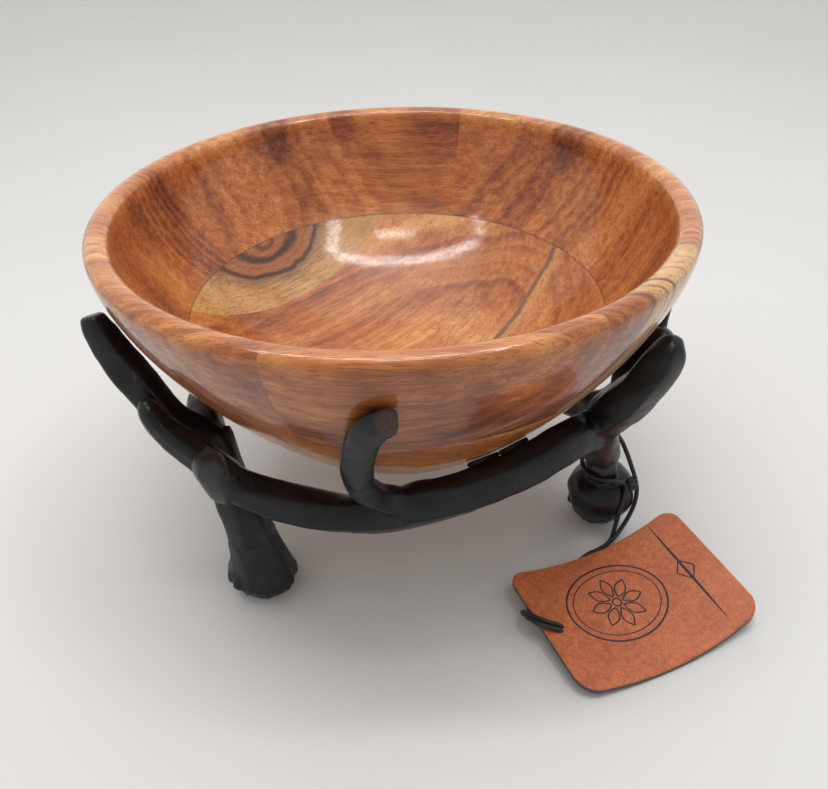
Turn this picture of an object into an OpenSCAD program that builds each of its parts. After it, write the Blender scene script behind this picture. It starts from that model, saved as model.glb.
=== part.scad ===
// Turned wooden salad bowl that sits loose in a stand of three cast antlers, with a leather
// hang tag on a cord.  Millimetres, +Z up, floor at z = 0, origin on the bowl's axis.

/* [Bowl] */
// Outside diameter of the bowl at its rim
bowl_d = 256; // [200:1:320]
// Height of the rim above the floor, at the standard diameter of 256 mm
rim_z = 161; // [157:1:167]
// Height of the bowl from its flat base to its rim
bowl_h = 100; // [95:1:105]
// Depth of the glue line between the upper blocks and the lower planks, below the rim
glue_depth = 51; // [41:1:61]
// Radius of the flat base
base_r = 69; // [60:1:72]
// Thickness of the wood at the middle of the bottom
floor_t = 11; // [9:1:14]

/* [Stand] */
// Turn from the right antler to the left one
left_turn = -112; // [-114:1:-110]
// Turn from the right antler to the back one
back_turn = 118; // [116:1:120]
// Thickness of the flat pads between the antlers and the bowl
pad_t = 2; // [1.5:0.5:2.5]
// Free gap between the pads and the bowl
seat_gap = 0.3; // [0.3:0.1:1]

/* [Hang tag] */
// Length of the tag
tag_l = 93; // [88:1:98]
// Width of the tag
tag_w = 64; // [58:1:68]
// Radius of the tag's corners
tag_corner = 8; // [4:1:12]
// Thickness of the tan leather face
face_t = 1.6; // [1:0.2:2]
// Thickness of the dark backing
backing_t = 1; // [0.8:0.2:1.6]
// Diameter of the cord
cord_d = 2.2; // [2:0.1:2.3]

/* [Hidden] */

k = bowl_d / 256;              // every length grows with the bowl
base_z = rim_z - bowl_h;
glue_z = rim_z - glue_depth;
glue_r = 96;                   // inner radius at the glue line
inner_floor_z = base_z + floor_t;
round_fn = 128;

// ---------------------------------------------------------------- bowl
function bezier(p, t) = pow(1 - t, 3) * p[0] + 3 * pow(1 - t, 2) * t * p[1]
    + 3 * (1 - t) * t * t * p[2] + pow(t, 3) * p[3];

// Outside, from the flat base up to just under the rim
outer_ctrl = [[base_r, base_z], [113, base_z + 45], [128, rim_z - 17], [128, rim_z - 4]];
outer_pts = [for (i = [0:18]) bezier(outer_ctrl, i / 18)];

// The rounded lip
lip_pts = [for (a = [20:20:160]) [123 + 5 * cos(a), rim_z - 4 + 4 * sin(a)]];

// Inside wall, from the lip down to the glue line
wall_ctrl = [[117.9, rim_z - 5], [116, rim_z - 18], [107, glue_z + 11], [glue_r, glue_z]];
wall_pts = [for (i = [0:10]) bezier(wall_ctrl, i / 10)];

// Inside bottom: a dish that gets steeper towards the glue line
dish_power = 2.6;
function dish_z(r) = inner_floor_z + (glue_z - inner_floor_z) * pow(r / glue_r, dish_power);
dish_pts = [for (r = [glue_r - 6:-6:0]) [r, dish_z(r)]];

profile = concat([[0, base_z]], outer_pts, lip_pts, wall_pts, dish_pts);

module bowl_blank(angle = 360)
{
    rotate_extrude(angle = angle, $fn = round_fn)
        scale([k, k])
            polygon(profile);
}

// One block of the upper ring, between two azimuths
module rim_block(from, to)
{
    intersection()
    {
        rotate([0, 0, from])
            bowl_blank(to - from);
        translate([-200, -200, glue_z * k])
            cube([400, 400, 100]);
    }
}

// Azimuths of the glued joints round the upper ring
joint_az = [3, 71, 150, 205, 250, 302, 363];

module block_back_right() { color([0.72, 0.42, 0.22]) rim_block(joint_az[0], joint_az[1]); }
module block_back() { color([0.76, 0.47, 0.26]) rim_block(joint_az[1], joint_az[2]); }
module block_back_left() { color([0.70, 0.40, 0.22]) rim_block(joint_az[2], joint_az[3]); }
module block_left() { color([0.66, 0.37, 0.20]) rim_block(joint_az[3], joint_az[4]); }
module block_front_left() { color([0.68, 0.38, 0.22]) rim_block(joint_az[4], joint_az[5]); }
module block_front_right() { color([0.74, 0.45, 0.25]) rim_block(joint_az[5], joint_az[6]); }

// Planks of the lower board: their joints run at this azimuth, at these offsets from the axis
plank_az = 48;
joint_left = -68;
joint_right = 29;

module plank(from, to)
{
    intersection()
    {
        bowl_blank();
        rotate([0, 0, plank_az - 90])
            translate([from * k, -200, 0])
                cube([(to - from) * k, 400, glue_z * k]);
    }
}

module plank_left() { color([0.85, 0.66, 0.40]) plank(-130, joint_left); }
module plank_middle() { color([0.78, 0.50, 0.27]) plank(joint_left, joint_right); }
module plank_right() { color([0.74, 0.44, 0.23]) plank(joint_right, 130); }

// ---------------------------------------------------------------- swept antler members
// A station is [azimuth, radius, height, width, thickness]: width is seen from outside the
// bowl, thickness is measured towards its axis.
function place(s, turn) = [s[1] * cos(s[0] + turn) * k, s[1] * sin(s[0] + turn) * k,
    s[2] * k, s[3] * k, s[4] * k];
function through(a, b, c, d, t) = 0.5 * (2 * b + (c - a) * t + (2 * a - 5 * b + 4 * c - d) * t * t
    + (3 * b - a - 3 * c + d) * t * t * t);
function smooth(s, n) = concat(
    [for (i = [0:len(s) - 2], j = [0:n - 1])
        through(s[max(i - 1, 0)], s[i], s[i + 1], s[min(i + 2, len(s) - 1)], j / n)],
    [s[len(s) - 1]]);
function unit(v) = v / norm(v);
function spot(s) = [s[0], s[1], s[2]];
function heading(p, i) = unit(spot(p[min(i + 1, len(p) - 1)]) - spot(p[max(i - 1, 0)]));
function across(v, t) = unit(v - (v * t) * t);
function ring(s, t, sides) = let (a = across([s[0], s[1], 0], t), b = cross(t, a))
    [for (n = [0:sides - 1]) spot(s) + a * (s[4] / 2 * cos(360 * n / sides))
        + b * (s[3] / 2 * sin(360 * n / sides))];

module skin(rings)
{
    sides = len(rings[0]);
    last = len(rings) - 1;
    walls = [for (i = [0:last - 1], n = [0:sides - 1]) let (m = (n + 1) % sides)
        each [[i * sides + n, (i + 1) * sides + n, (i + 1) * sides + m],
              [i * sides + n, (i + 1) * sides + m, i * sides + m]]];
    polyhedron([for (r = rings) each r],
        concat([[for (n = [0:sides - 1]) n]], walls,
            [[for (n = [sides - 1:-1:0]) last * sides + n]]));
}

module member(stations, turn = 0, steps = 3, sides = 14)
{
    p = smooth([for (s = stations) place(s, turn)], steps);
    skin([for (i = [0:len(p) - 1]) ring(p[i], heading(p, i), sides)]);
}

// Foot: a swept knob that is cut off flat at the floor
module foot(stations, turn = 0)
{
    intersection()
    {
        member(stations, turn, 2, 16);
        translate([-300, -300, 0])
            cube([600, 600, 100]);
    }
}

// Right foot is a round cup under a thin neck; the other two flare out like bells
cup_foot = [[-19.6, 105.8, -2, 14, 14], [-19.8, 105.8, 2, 18, 17], [-20.8, 105.8, 9.5, 28, 26.5],
    [-22, 106, 19, 32, 30.5], [-22.6, 105.7, 26, 27, 26], [-22.9, 105.5, 29.5, 18, 18]];
bell_foot = [[-22, 100.5, -1.5, 14, 14], [-22, 100.5, 1.5, 24, 22], [-21.6, 100.3, 8, 32, 28],
    [-21.6, 100, 14, 28, 26], [-22.3, 100, 21, 25, 23], [-23.4, 100, 29, 22, 21]];

// Legs run from the foot up to the first fork
neck_leg = [[-22.6, 105.6, 27, 15, 15], [-24, 105, 36, 14, 14], [-27, 104.5, 48, 15, 16],
    [-31, 104, 61, 18, 18], [-35, 103, 74, 20, 19]];
bell_leg = [[-23.2, 100, 27.5, 22.5, 21.5], [-25.4, 100.3, 38, 19, 18],
    [-28.6, 100.5, 51, 18.5, 17.5], [-32, 100.5, 64, 19, 18], [-36, 101, 75, 20, 19]];

// Main beam: from the first fork under the bowl to the crossing on the next antler's leg
beam = [[-33, 103.4, 72, 19, 18], [-40, 100, 75, 19, 17], [-48, 97, 75, 18.5, 16.5],
    [-58, 93, 70, 18.5, 17], [-67, 88.5, 65, 18.5, 17], [-76, 84.5, 59, 20, 16.5],
    [-86, 81.5, 54.5, 22, 17], [-95, 79.8, 48.5, 19.5, 16.5], [-106, 80, 45.5, 18, 17],
    [-118, 85, 47.5, 18, 17.5], [-128, 93, 53.5, 17, 17], [-134, 101, 61.5, 16, 16],
    [-136.5, 107, 70.5, 15, 15]];

// Last tine of each antler, past the crossing
tip_front = [[-135.5, 105, 67.5, 15, 15], [-138.2, 111, 79, 16, 14.5], [-140.5, 118, 91, 15, 13],
    [-142, 123, 101, 12.5, 10.5], [-143.5, 124, 107.5, 9.5, 8], [-143.8, 124.6, 110.5, 3, 3]];
tip_far = [[-135.5, 105, 67.5, 15, 15], [-138, 110.5, 79, 15, 17], [-140, 113.5, 91, 17, 21],
    [-140, 117.5, 103, 15, 19], [-139, 121, 110, 12, 13], [-138.6, 123, 113.5, 6, 6]];
spur = [[-137, 117, 86, 8, 8], [-135, 118, 96, 10, 8], [-133, 119.5, 108, 9, 7],
    [-131.5, 121, 118, 6, 5], [-131, 121.4, 121, 2, 2]];

// Tine that stands up against the outside of the bowl
bowl_tine = [[-85, 82, 54, 13, 13], [-91.5, 82, 57, 14, 13], [-98, 88, 66.5, 13, 12],
    [-100.5, 96, 80.5, 12, 10.5], [-99.8, 104.5, 94, 12, 9.5], [-98.5, 113, 108, 12, 8.5],
    [-96.6, 121.8, 124.3, 12, 7.5], [-94.7, 125.5, 133, 12.5, 6], [-92.5, 127.2, 137.5, 12, 5],
    [-90.6, 127.5, 138, 9, 4.4]];

// Brow tines: the right one is a broad blade, the others are long and round
blade_tine = [[-34, 103.5, 73, 18, 16], [-33.5, 106.5, 80, 22.5, 17.5],
    [-33.5, 112.5, 90, 23, 19], [-33, 119, 101, 22.5, 17.5], [-31.5, 124, 112, 19, 16],
    [-31.5, 126.5, 120, 15, 11], [-31.6, 128, 123.5, 6, 5]];
long_tine = [[-35, 102, 74, 18, 17], [-35.5, 107, 82, 18, 16], [-36.5, 115, 92, 18, 15],
    [-39, 120.5, 105, 18, 15.5], [-41.5, 126, 118, 17.5, 15.5], [-43, 129.5, 131, 15.5, 12.5],
    [-44, 130.5, 137.5, 11, 9]];

// Weld knuckle at the crossing, between this antler's beam and the next one's leg
knuckle_front = [[-136, 105.5, 57, 9, 9], [-135.6, 108, 63, 13, 12], [-135.2, 111, 72, 15, 13],
    [-134.8, 113, 81, 15, 13], [-134.4, 113.5, 88, 9, 9]];
knuckle_far = [[-132, 101, 58, 9, 9], [-137, 103, 64, 14, 16], [-141, 104, 70, 15, 18],
    [-144, 104, 75, 14, 16], [-147, 104, 79, 8, 9]];

blackened = [0.08, 0.08, 0.09];

module burr_right() { color(blackened) foot(cup_foot); }
module leg_right() { color(blackened) member(neck_leg); }
module beam_right() { color(blackened) member(beam); }
module tip_right() { color(blackened) member(tip_front); }
module brow_tine_right() { color(blackened) member(blade_tine); }
module bowl_tine_right() { color(blackened) member(bowl_tine); }
module knuckle_right() { color(blackened) member(knuckle_front); }

module burr_left() { color(blackened) foot(bell_foot, left_turn); }
module leg_left() { color(blackened) member(bell_leg, left_turn); }
module beam_left() { color(blackened) member(beam, left_turn); }
module tip_left() { color(blackened) member(tip_front, left_turn); }
module brow_tine_left() { color(blackened) member(long_tine, left_turn); }
module bowl_tine_left() { color(blackened) member(bowl_tine, left_turn); }
module knuckle_left() { color(blackened) member(knuckle_front, left_turn); }

module burr_back() { color(blackened) foot(bell_foot, back_turn); }
module leg_back() { color(blackened) member(bell_leg, back_turn); }
module beam_back() { color(blackened) member(beam, back_turn); }
module tip_back() { color(blackened) member(tip_far, back_turn); }
module spur_back() { color(blackened) member(spur, back_turn); }
module brow_tine_back() { color(blackened) member(long_tine, back_turn); }
module bowl_tine_back() { color(blackened) member(bowl_tine, back_turn); }
module knuckle_back() { color(blackened) member(knuckle_far, back_turn); }

// ---------------------------------------------------------------- pads
// Point on the outside of the bowl and its slope, part way up the outer curve
function slope(t) = let (d = bezier(outer_ctrl, t + 0.01) - bezier(outer_ctrl, t)) atan2(d[1], d[0]);

module pad(az, t, l, w)
{
    c = bezier(outer_ctrl, t) * k;
    rotate([0, 0, az])
        translate([c[0], 0, c[1]])
            rotate([0, -slope(t), 0])
                translate([-w / 2, -l / 2, -pad_t - seat_gap])
                    cube([w, l, pad_t]);
}

module pads(turn)
{
    pad(-56.5 + turn, 0.12, 12, 8);
    pad(-65 + turn, 0.08, 13, 8);
}

pad_black = [0.05, 0.05, 0.05];

module pads_right() { color(pad_black) pads(0); }
module pads_left() { color(pad_black) pads(left_turn); }
module pads_back() { color(pad_black) pads(back_turn); }

// ---------------------------------------------------------------- hang tag
// The tag is curled along its length, and the cord that runs under it props up its far side
tag_at = [100.2, -96.3];       // middle of the tag
tag_turn = 22;                 // azimuth of its length
curl_r = 220;                  // radius of the curl
curl_low = -6.8;               // lowest line of the curl, along the length from the middle
tag_tilt = 3.4;                // sideways slope, in degrees
tag_bow = 4.3;                 // how far both long edges bow towards the low side
hole_at = [-38.3, -2.7];       // punched hole, from the tag's middle
hole_r = 2.6;

corner_x = tag_l / 2 - tag_corner;
corner_y = tag_w / 2 - tag_corner;
edge_steps = 12;
edge_x = [for (i = [1:edge_steps - 1]) corner_x * (2 * i / edge_steps - 1)];
function corner(sx, sy, from) = [for (a = [from:15:from + 90])
    [sx * corner_x + tag_corner * cos(a), sy * corner_y + tag_corner * sin(a)]];
function bowed(p) = [p[0], p[1] - tag_bow * (1 - pow(2 * p[0] / tag_l, 2))];
tag_outline = concat(
    [for (x = edge_x) [x, -tag_w / 2]], corner(1, -1, -90), corner(1, 1, 0),
    [for (x = edge_x) [-x, tag_w / 2]], corner(-1, 1, 90), corner(-1, -1, 180));

// A sheet between two depths, rolled about an axis across the tag
module curled_sheet(from, to)
{
    low_side = tag_w / 2 + tag_bow;
    translate([curl_low, -low_side, 0])
        rotate([tag_tilt, 0, 0])
            translate([0, 120, curl_r])
                rotate([90, 0, 0])
                    difference()
                    {
                        cylinder(h = 140, r = curl_r - from, $fn = 240);
                        translate([0, 0, -1])
                            cylinder(h = 142, r = curl_r - to, $fn = 240);
                    }
}

module tag_layer(from, to)
{
    translate([tag_at[0] * k, tag_at[1] * k, 0])
        rotate([0, 0, tag_turn])
            scale(k)
                difference()
                {
                    intersection()
                    {
                        linear_extrude(height = 40)
                            polygon([for (p = tag_outline) bowed(p)]);
                        curled_sheet(from, to);
                    }
                    translate([hole_at[0], hole_at[1], 0])
                        cylinder(h = 40, r = hole_r, $fn = 48);
                }
}

module tag_face() { color([0.72, 0.38, 0.20]) tag_layer(backing_t, backing_t + face_t); }
module tag_backing() { color([0.15, 0.15, 0.16]) tag_layer(0, backing_t); }

// ---------------------------------------------------------------- cord
// Route of the strand that is tied round the neck of the right leg
route_inner = [[105.5, -35.5, 36], [98.5, -31.6, 37], [91, -33, 37.5], [86.9, -40, 37.5],
    [88, -47.4, 36.8], [93.4, -51.6, 35.8], [100.4, -51.8, 34.4], [106.4, -50.6, 30.4],
    [105.6, -53.4, 24], [103.5, -56.4, 17], [102.3, -57.8, 9], [100.7, -60.1, 3.2],
    [97.2, -62.8, 1.3], [92.4, -65.3, 1.2], [86.9, -68, 1.2], [77.6, -76, 1.2],
    [69.7, -84, 1.2], [61.5, -92, 1.2], [55, -98.2, 1.4], [51.4, -101.4, 2.8],
    [50.2, -102.9, 6], [51, -105.4, 8.9], [53.7, -108.4, 10.3], [57.3, -110.8, 10.4],
    [60.8, -111.9, 9.8], [64, -112.3, 8.7], [66, -112.1, 6.4], [66.1, -112.1, 3.6]];
// Route of the strand that starts higher up the leg
route_outer = [[100.5, -44, 57], [103.6, -43.6, 52], [106.8, -43.8, 45], [109.8, -44.8, 37.5],
    [112.4, -47, 30], [113.4, -48.6, 24], [112.6, -50.6, 17], [109.4, -53.8, 10.6],
    [105.4, -57.4, 6.6], [100.9, -61.5, 5], [96.7, -64.2, 3.3], [92, -66.9, 2.9],
    [86.7, -70.5, 1.8], [79.3, -77.8, 1.2], [71.4, -85.7, 1.2], [63.2, -93.7, 1.2],
    [56.8, -99.9, 1.4], [52.8, -103.2, 2.8], [51.4, -104.9, 6], [51.4, -107.8, 8.9],
    [53.5, -110.8, 10.1], [56.5, -113.1, 10.2], [60, -114.2, 9.7], [63.2, -114.6, 8.7],
    [65.2, -114.3, 6.4], [65.3, -114.3, 3.6]];

function carried(p, i, a) = i == len(p) ? []
    : let (b = across(a, heading(p, i))) concat([b], carried(p, i + 1, b));

module strand(route, sides = 8)
{
    p = smooth(route, 2) * k;
    sides_out = carried(p, 0, [0.1, 0.2, 1]);
    skin([for (i = [0:len(p) - 1])
        let (t = heading(p, i), a = sides_out[i], b = cross(t, a))
            [for (n = [0:sides - 1]) p[i]
                + (a * cos(360 * n / sides) + b * sin(360 * n / sides)) * cord_d / 2 * k]]);
}

module knot(at, r, h)
{
    translate(at * k)
        scale(k)
            rotate_extrude($fn = 32)
                polygon([[0, -h / 2], [r * 0.6, -h / 2], [r, -h / 4], [r, h / 4],
                    [r * 0.6, h / 2], [0, h / 2]]);
}

cord_black = [0.04, 0.04, 0.04];

module cord_inner() { color(cord_black) strand(route_inner); }
module cord_outer() { color(cord_black) strand(route_outer); }
module hitch_knot() { color(cord_black) knot([109.7, -49.2, 29.8], 3.2, 6.6); }
module stopper_knot() { color(cord_black) knot([65.7, -113.2, 2], 2.8, 3.6); }

block_back_right();
block_back();
block_back_left();
block_left();
block_front_left();
block_front_right();
plank_left();
plank_middle();
plank_right();
burr_right();
leg_right();
beam_right();
tip_right();
brow_tine_right();
bowl_tine_right();
knuckle_right();
pads_right();
burr_left();
leg_left();
beam_left();
tip_left();
brow_tine_left();
bowl_tine_left();
knuckle_left();
pads_left();
burr_back();
leg_back();
beam_back();
tip_back();
spur_back();
brow_tine_back();
bowl_tine_back();
knuckle_back();
pads_back();
tag_face();
tag_backing();
cord_inner();
cord_outer();
hitch_knot();
stopper_knot();
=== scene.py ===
import math

import bmesh
import bpy
import numpy as np
from mathutils import Matrix, Vector, noise


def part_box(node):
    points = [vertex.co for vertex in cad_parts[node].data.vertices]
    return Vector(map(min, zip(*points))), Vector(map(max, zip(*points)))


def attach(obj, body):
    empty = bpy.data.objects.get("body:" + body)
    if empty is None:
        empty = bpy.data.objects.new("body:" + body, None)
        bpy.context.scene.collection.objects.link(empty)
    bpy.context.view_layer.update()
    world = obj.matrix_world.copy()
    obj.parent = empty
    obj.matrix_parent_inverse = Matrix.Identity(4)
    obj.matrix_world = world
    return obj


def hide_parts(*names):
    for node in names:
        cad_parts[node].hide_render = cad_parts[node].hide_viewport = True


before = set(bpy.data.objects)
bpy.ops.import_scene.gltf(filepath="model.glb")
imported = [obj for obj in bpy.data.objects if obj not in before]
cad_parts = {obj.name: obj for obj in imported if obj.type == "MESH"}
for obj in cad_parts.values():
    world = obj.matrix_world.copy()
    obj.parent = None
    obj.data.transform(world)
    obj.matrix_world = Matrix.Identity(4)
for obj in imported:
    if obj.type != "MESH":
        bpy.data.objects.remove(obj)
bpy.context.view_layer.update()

# Wooden bowl that sits loose in a stand of three cast antlers, with a curled leather hang tag
# on a cord.  Lengths are in millimetres up to the point where a mesh is made.
MM = 0.001
STAND, BOWL = "stand", "bowl"


def rad(degrees):
    return math.radians(degrees)


# ---------------------------------------------------------------- frame
RIM_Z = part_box("block_back")[1].z / MM + 0.1
BASE_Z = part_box("plank_middle")[0].z / MM
GLUE_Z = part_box("block_back")[0].z / MM
BOWL_R = 128.0
GLUE_R = 96.0      # radius of the flat glue joint between ring and board, inside
FLOOR_T = 11.0     # thickness of the bowl in the middle


# ---------------------------------------------------------------- mesh helpers
def add_mesh(name, verts_mm, faces, materials):
    mesh = bpy.data.meshes.new(name)
    mesh.from_pydata((np.asarray(verts_mm, float) * MM).tolist(), [], faces)
    mesh.validate()
    mesh.polygons.foreach_set("use_smooth", [True] * len(mesh.polygons))
    for m in materials:
        mesh.materials.append(m)
    obj = bpy.data.objects.new(name, mesh)
    bpy.context.scene.collection.objects.link(obj)
    return obj


def bake_modifiers(obj):
    """Applies the object's modifiers to its mesh."""
    graph = bpy.context.evaluated_depsgraph_get()
    mesh = bpy.data.meshes.new_from_object(obj.evaluated_get(graph))
    old = obj.data
    obj.modifiers.clear()
    obj.data = mesh
    bpy.data.meshes.remove(old)


def unit(v):
    return v / np.linalg.norm(v)


def smooth_path(points, steps):
    """Catmull-Rom through rows of numbers, the same curve as the CAD part's."""
    p = np.asarray(points, float)
    last = len(p) - 1
    rows = []
    for i in range(last):
        a, b, c, d = p[max(i - 1, 0)], p[i], p[i + 1], p[min(i + 2, last)]
        for j in range(steps):
            t = j / steps
            rows.append(0.5 * (2 * b + (c - a) * t + (2 * a - 5 * b + 4 * c - d) * t * t
                               + (3 * b - a - 3 * c + d) * t ** 3))
    rows.append(p[last])
    return np.array(rows)


def skin(rings):
    """Vertices and faces of a closed tube through rings that have equal numbers of points."""
    rings = np.asarray(rings)
    count, sides = rings.shape[:2]
    faces = [(i * sides + n, (i + 1) * sides + n, (i + 1) * sides + (n + 1) % sides,
              i * sides + (n + 1) % sides) for i in range(count - 1) for n in range(sides)]
    faces.append(tuple(range(sides)))
    faces.append(tuple((count - 1) * sides + n for n in reversed(range(sides))))
    return rings.reshape(-1, 3), faces


def merge(parts):
    """Joins (vertices, faces) pairs into one."""
    verts, faces, start = [], [], 0
    for v, f in parts:
        verts.append(np.asarray(v, float))
        faces += [tuple(n + start for n in face) for face in f]
        start += len(v)
    return np.concatenate(verts), faces


# ---------------------------------------------------------------- node helpers
class Shader:
    """A material whose nodes are made by short calls; every socket can be a value or an output."""

    def __init__(self, name):
        self.material = bpy.data.materials.new(name)
        self.material.use_nodes = True
        self.tree = self.material.node_tree
        self.bsdf = self.tree.nodes["Principled BSDF"]

    def put(self, socket, value):
        if isinstance(value, bpy.types.NodeSocket):
            self.tree.links.new(value, socket)
        elif value is not None:
            socket.default_value = value

    def node(self, kind, values, out=0, **settings):
        n = self.tree.nodes.new(kind)
        for key, setting in settings.items():
            setattr(n, key, setting)
        for key, value in values.items():
            self.put(n.inputs[key], value)
        return n.outputs[out]

    def where(self, azimuth=0.0):
        """Object coordinates in millimetres, with their first axis at an azimuth."""
        here = self.node("ShaderNodeTexCoord", {}, out=3)
        return self.node("ShaderNodeMapping", {"Vector": here, "Rotation": (0, 0, rad(-azimuth)),
                         "Scale": [1 / MM] * 3})

    def stretch(self, vector, scale, shift=(0, 0, 0)):
        return self.node("ShaderNodeMapping",
                         {"Vector": vector, "Scale": scale, "Location": shift})

    def noise(self, vector, scale=1.0, detail=2.0, rough=0.5, out=0):
        return self.node("ShaderNodeTexNoise", {"Vector": vector, "Scale": scale, "Detail": detail,
                         "Roughness": rough}, out=out)

    def cells(self, vector, scale):
        """Distance from the nearest of scattered points."""
        return self.node("ShaderNodeTexVoronoi", {"Vector": vector, "Scale": scale}, feature="F1")

    def math(self, operation, a, b=0.0, c=0.0):
        return self.node("ShaderNodeMath", {0: a, 1: b, 2: c}, operation=operation)

    def vmath(self, operation, a, b=(0, 0, 0), out=0):
        return self.node("ShaderNodeVectorMath", {0: a, 1: b}, operation=operation, out=out)

    def split(self, vector):
        n = self.tree.nodes.new("ShaderNodeSeparateXYZ")
        self.put(n.inputs[0], vector)
        return n.outputs

    def join(self, x, y, z):
        return self.node("ShaderNodeCombineXYZ", {0: x, 1: y, 2: z})

    def fit(self, value, low, high, to_low=0.0, to_high=1.0):
        """Maps low to to_low and high to to_high, with a soft start and end."""
        return self.node("ShaderNodeMapRange", {"Value": value, "From Min": low, "From Max": high,
                         "To Min": to_low, "To Max": to_high}, interpolation_type="SMOOTHSTEP")

    def weigh(self, value, weight, level):
        """Adds a value's distance from its middle, 0.5, to a level, times a weight."""
        return self.math("MULTIPLY_ADD", self.math("SUBTRACT", value, 0.5), weight, level)

    def ramp(self, value, stops):
        n = self.tree.nodes.new("ShaderNodeValToRGB")
        self.put(n.inputs[0], value)
        while len(n.color_ramp.elements) < len(stops):
            n.color_ramp.elements.new(0.5)
        for element, (at, colour) in zip(n.color_ramp.elements, stops):
            element.position = at
            element.color = (*colour, 1)
        return n.outputs[0]

    def mix(self, share, a, b):
        """A colour share of the way from a to b."""
        n = self.tree.nodes.new("ShaderNodeMix")
        n.data_type = "RGBA"
        self.put(n.inputs[0], share)
        for socket, value in ((n.inputs[6], a), (n.inputs[7], b)):
            self.put(socket, (*value, 1) if isinstance(value, tuple) else value)
        return n.outputs[2]

    def bump(self, height, depth_mm, strength):
        return self.node("ShaderNodeBump", {"Height": height, "Distance": depth_mm * MM,
                         "Strength": strength})

    def finish(self, **inputs):
        for key, value in inputs.items():
            self.put(self.bsdf.inputs[key.replace("_", " ")], value)
        return self.material


# ---------------------------------------------------------------- materials
# Colours of the wood from its darkest to its lightest level
ACACIA = [(0.14, (0.075, 0.016, 0.006)), (0.34, (0.27, 0.066, 0.016)),
          (0.52, (0.46, 0.142, 0.033)), (0.70, (0.62, 0.235, 0.062)), (0.90, (0.76, 0.40, 0.145))]
DARK_PORE = (0.10, 0.026, 0.010)
PORE_SHARE = 0.50
# The wood's middle level, and how much each part of its figure moves the level
MIDDLE_LEVEL = 0.565
BAND_WEIGHT, FIBRE_WEIGHT, STREAK_WEIGHT, FIGURE_WEIGHT = 0.92, 0.34, 0.66, 0.20
RING_LIFT, RIM_LIFT, STAIN_LIFT = -0.13, 0.13, -0.21
# How far the growth rings stray from round, in millimetres: slowly, and in small ripples
WOBBLE, RIPPLE = (0, 34, 34), (0, 5, 5)
HALF = (0.5, 0.5, 0.5)


def wood(name, fibre_az, tone, seed, gap, heart=(0, -300, 130), bow=0.0, stains=(), sap=None):
    """Lacquered hardwood. fibre_az is the azimuth of the grain, tone its lightness, gap the space
    between growth rings, heart a point on the tree's axis in (along, across, up). bow bends the
    rings into arches along the grain, stains are soft dark patches as (x, y, z, radius), and
    sap(shader, colour, here, bent grain, fibre) adds pale wood."""
    s = Shader(name)
    grain = s.where(fibre_az)
    wobble = s.noise(s.stretch(grain, (0.004, 0.013, 0.013), (seed, seed, 0)), detail=2, out=1)
    wobble = s.vmath("MULTIPLY", s.vmath("SUBTRACT", wobble, HALF), WOBBLE)
    ripple = s.noise(s.stretch(grain, (0.03, 0.05, 0.05), (0, seed, 3)), detail=1, out=1)
    ripple = s.vmath("MULTIPLY", s.vmath("SUBTRACT", ripple, HALF), RIPPLE)
    bent = s.vmath("ADD", s.vmath("ADD", grain, wobble), ripple)
    x, y, z = s.split(s.vmath("SUBTRACT", bent, heart))
    depth = s.math("SQRT", s.math("ADD", s.math("MULTIPLY", y, y), s.math("MULTIPLY", z, z)))
    if bow:
        depth = s.math("MULTIPLY_ADD", s.math("MULTIPLY", x, x), bow, depth)
    along = s.math("MULTIPLY", x, 0.0035)
    band = s.noise(s.join(along, s.math("MULTIPLY", depth, 0.06), seed), detail=3, rough=0.55)
    ring = s.math("FRACT", s.math("DIVIDE", depth, gap))
    ring = s.math("SUBTRACT", s.fit(ring, 0.0, 0.75), s.fit(ring, 0.86, 1.0))
    strong = s.noise(s.join(along, s.math("MULTIPLY", depth, 0.035), seed + 9), detail=1)
    ring = s.math("MULTIPLY", ring, s.fit(strong, 0.45, 0.65))
    fibre = s.noise(s.stretch(grain, (0.03, 0.9, 0.9)), detail=4, rough=0.7)
    streak = s.noise(s.stretch(grain, (0.012, 0.30, 0.30), (seed, 2, 4)), detail=3, rough=0.6)
    pores = s.noise(s.stretch(grain, (0.10, 1.35, 1.35), (0, 0, seed)), detail=2, rough=0.6)
    pores = s.fit(pores, 0.55, 0.64)
    figure = s.noise(s.stretch(grain, (0.10, 0.035, 0.035), (seed, 0, 5)), detail=2)
    level = s.weigh(band, BAND_WEIGHT, MIDDLE_LEVEL + tone)
    level = s.weigh(fibre, FIBRE_WEIGHT, level)
    level = s.weigh(streak, STREAK_WEIGHT, level)
    level = s.weigh(figure, FIGURE_WEIGHT, level)
    level = s.math("MULTIPLY_ADD", ring, RING_LIFT, level)
    here = s.where()
    height_here = s.split(here)[2]
    level = s.math("MULTIPLY_ADD", s.fit(height_here, RIM_Z - 9, RIM_Z - 3), RIM_LIFT, level)
    for px, py, pz, r in stains:
        away = s.vmath("DISTANCE", s.vmath("ADD", here, wobble), (px, py, pz), out=1)
        level = s.math("MULTIPLY_ADD", s.fit(away, r, r * 0.2), STAIN_LIFT, level)
    colour = s.ramp(level, ACACIA)
    if sap:
        colour = sap(s, colour, here, bent, fibre)
    colour = s.mix(s.math("MULTIPLY", pores, PORE_SHARE), colour, DARK_PORE)
    colour = dark_line(s, colour, height_here, GLUE_Z, 0.45, 0.55)
    height = s.math("SUBTRACT", s.math("MULTIPLY", fibre, 0.5), pores)
    smear = s.noise(here, scale=0.045, detail=3)
    return s.finish(Base_Color=colour, Roughness=s.fit(smear, 0.3, 0.7, 0.34, 0.46),
                    Normal=s.bump(height, 0.06, 0.6), Specular_IOR_Level=0.3, Coat_Weight=0.85,
                    Coat_Roughness=0.08,
                    Coat_Normal=s.bump(s.math("ADD", smear, height), 0.05, 0.5))


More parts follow.
